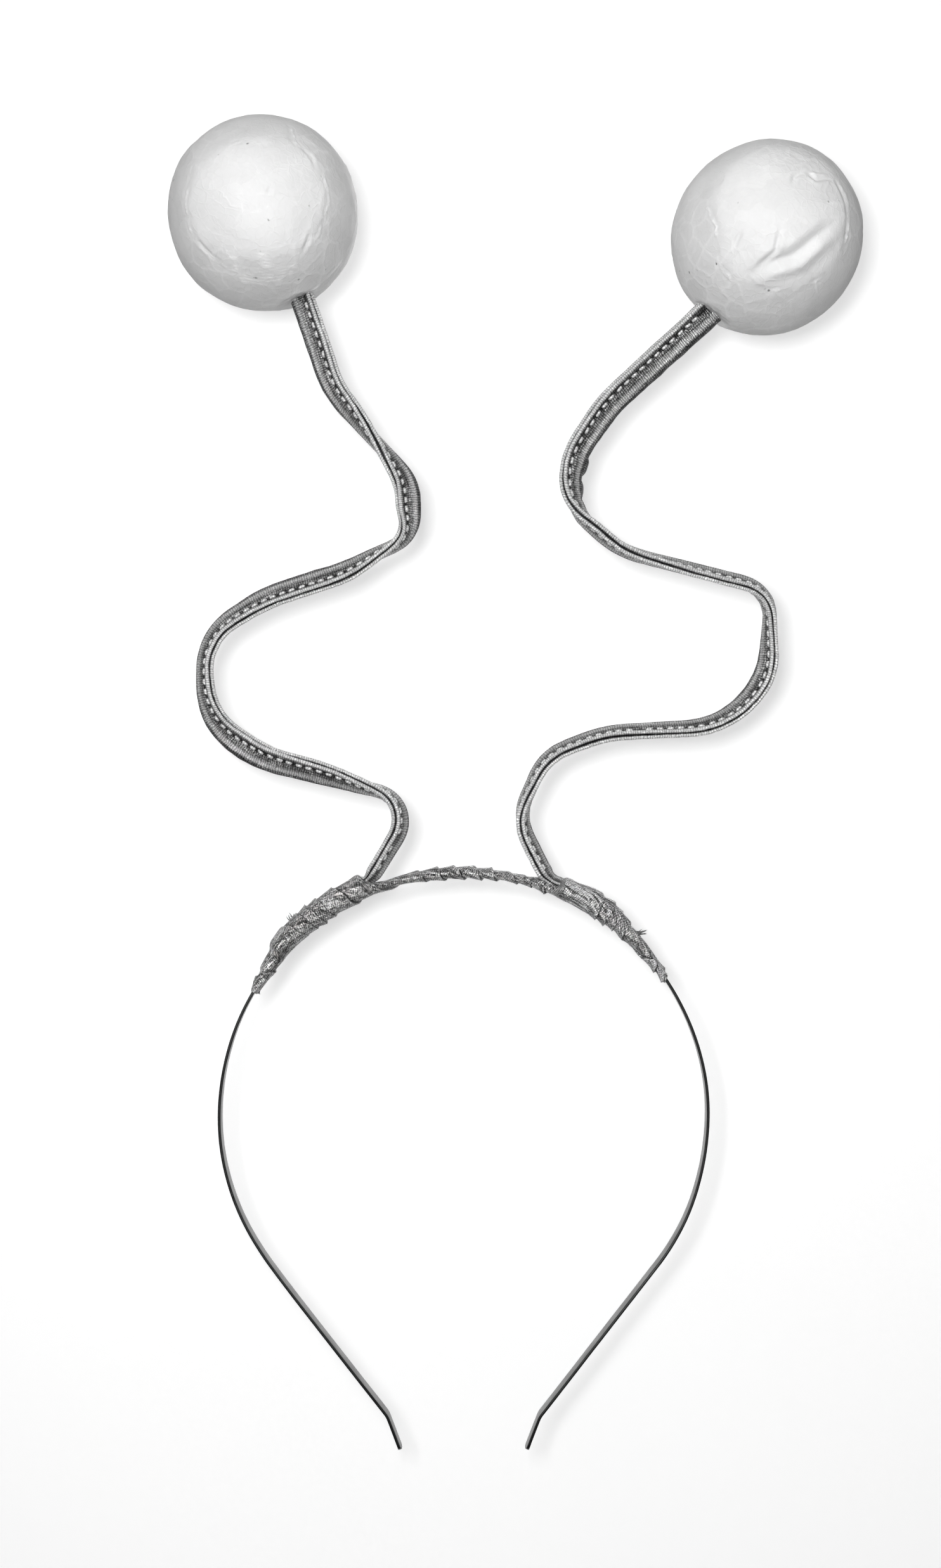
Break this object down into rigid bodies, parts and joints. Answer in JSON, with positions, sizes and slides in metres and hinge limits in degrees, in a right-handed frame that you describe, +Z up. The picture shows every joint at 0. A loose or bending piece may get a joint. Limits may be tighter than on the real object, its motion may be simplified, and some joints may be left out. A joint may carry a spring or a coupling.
{
  "type": "antenna headband",
  "caption": "Sprung metal headband wound with silver ribbon, with bendable wavy wire stalks in fabric sleeves and a white bead-foam ball on each stalk.",
  "frame": {"origin": "under the ribbon at the middle of the crown, where the band rests on the head", "axes": "+Z up from the head towards the balls, the band's arch in the XZ plane, +X to the wearer's left as seen from the front (-Y side)"},
  "size_m": [0.1824, 0.05, 0.3495],
  "materials": {
    "band_steel": "satin",
    "ribbon": "satin",
    "sleeve": "satin",
    "thread": "satin",
    "wire": "satin",
    "bead_foam": "matte",
    "glue": "gloss"
  },
  "bodies": {
    "crown": {"band_crown": "band_steel", "ribbon_wrap": "ribbon", "left_wire_foot": "wire", "left_sleeve_foot": "sleeve", "right_wire_foot": "wire", "right_sleeve_foot": "sleeve"},
    "left_arm": {"left_band_arm": "band_steel"},
    "right_arm": {"right_band_arm": "band_steel"},
    "left_stalk_base": {"left_wire_base": "wire", "left_sleeve_base": "sleeve", "left_thread_base": "thread"},
    "left_stalk_lower": {"left_wire_lower": "wire", "left_sleeve_lower": "sleeve", "left_thread_lower": "thread"},
    "left_stalk_middle": {"left_wire_middle": "wire", "left_sleeve_middle": "sleeve", "left_thread_middle": "thread"},
    "left_stalk_upper": {"left_wire_upper": "wire", "left_sleeve_upper": "sleeve", "left_thread_upper": "thread", "left_ball": "bead_foam", "left_glue": "glue"},
    "right_stalk_base": {"right_wire_base": "wire", "right_sleeve_base": "sleeve", "right_thread_base": "thread"},
    "right_stalk_lower": {"right_wire_lower": "wire", "right_sleeve_lower": "sleeve", "right_thread_lower": "thread"},
    "right_stalk_middle": {"right_wire_middle": "wire", "right_sleeve_middle": "sleeve", "right_thread_middle": "thread"},
    "right_stalk_upper": {"right_wire_upper": "wire", "right_sleeve_upper": "sleeve", "right_thread_upper": "thread", "right_ball": "bead_foam", "right_glue": "glue"}
  },
  "joints": [
    {"name": "left_arm_flex", "type": "hinge", "parent": "crown", "child": "left_arm", "pos_m": [-0.05524, 0, -0.03008], "axis": [0, 1, 0], "range_deg": [-4, 18], "stiffness_Nm_per_rad": 0.5},
    {"name": "right_arm_flex", "type": "hinge", "parent": "crown", "child": "right_arm", "pos_m": [0.05341, 0, -0.02714], "axis": [0, -1, 0], "range_deg": [-4, 18], "stiffness_Nm_per_rad": 0.5},
    {"name": "left_root_swivel", "type": "hinge", "parent": "crown", "child": "left_stalk_base", "pos_m": [-0.0208, 0.00195, 0.00513], "axis": [0.5308, 0, 0.8475], "range_deg": [-40, 40]},
    {"name": "left_first_bend", "type": "hinge", "parent": "left_stalk_base", "child": "left_stalk_lower", "pos_m": [-0.0162, 0.00195, 0.0152], "axis": [0, 1, 0], "range_deg": [-20, 20]},
    {"name": "left_second_bend", "type": "hinge", "parent": "left_stalk_lower", "child": "left_stalk_middle", "pos_m": [-0.0687, 0.00195, 0.0528], "axis": [0, -1, 0], "range_deg": [-25, 25]},
    {"name": "left_third_bend", "type": "hinge", "parent": "left_stalk_middle", "child": "left_stalk_upper", "pos_m": [-0.0131, 0.00195, 0.0972], "axis": [0, 1, 0], "range_deg": [-30, 30]},
    {"name": "right_root_swivel", "type": "hinge", "parent": "crown", "child": "right_stalk_base", "pos_m": [0.01919, 0.00195, 0.00626], "axis": [-0.4521, 0, 0.892], "range_deg": [-40, 40]},
    {"name": "right_first_bend", "type": "hinge", "parent": "right_stalk_base", "child": "right_stalk_lower", "pos_m": [0.0154, 0.00195, 0.0165], "axis": [0, 1, 0], "range_deg": [-20, 20]},
    {"name": "right_second_bend", "type": "hinge", "parent": "right_stalk_lower", "child": "right_stalk_middle", "pos_m": [0.0808, 0.00195, 0.0692], "axis": [0, -1, 0], "range_deg": [-25, 25]},
    {"name": "right_third_bend", "type": "hinge", "parent": "right_stalk_middle", "child": "right_stalk_upper", "pos_m": [0.029, 0.00195, 0.1027], "axis": [0, 1, 0], "range_deg": [-30, 30]}
  ]
}
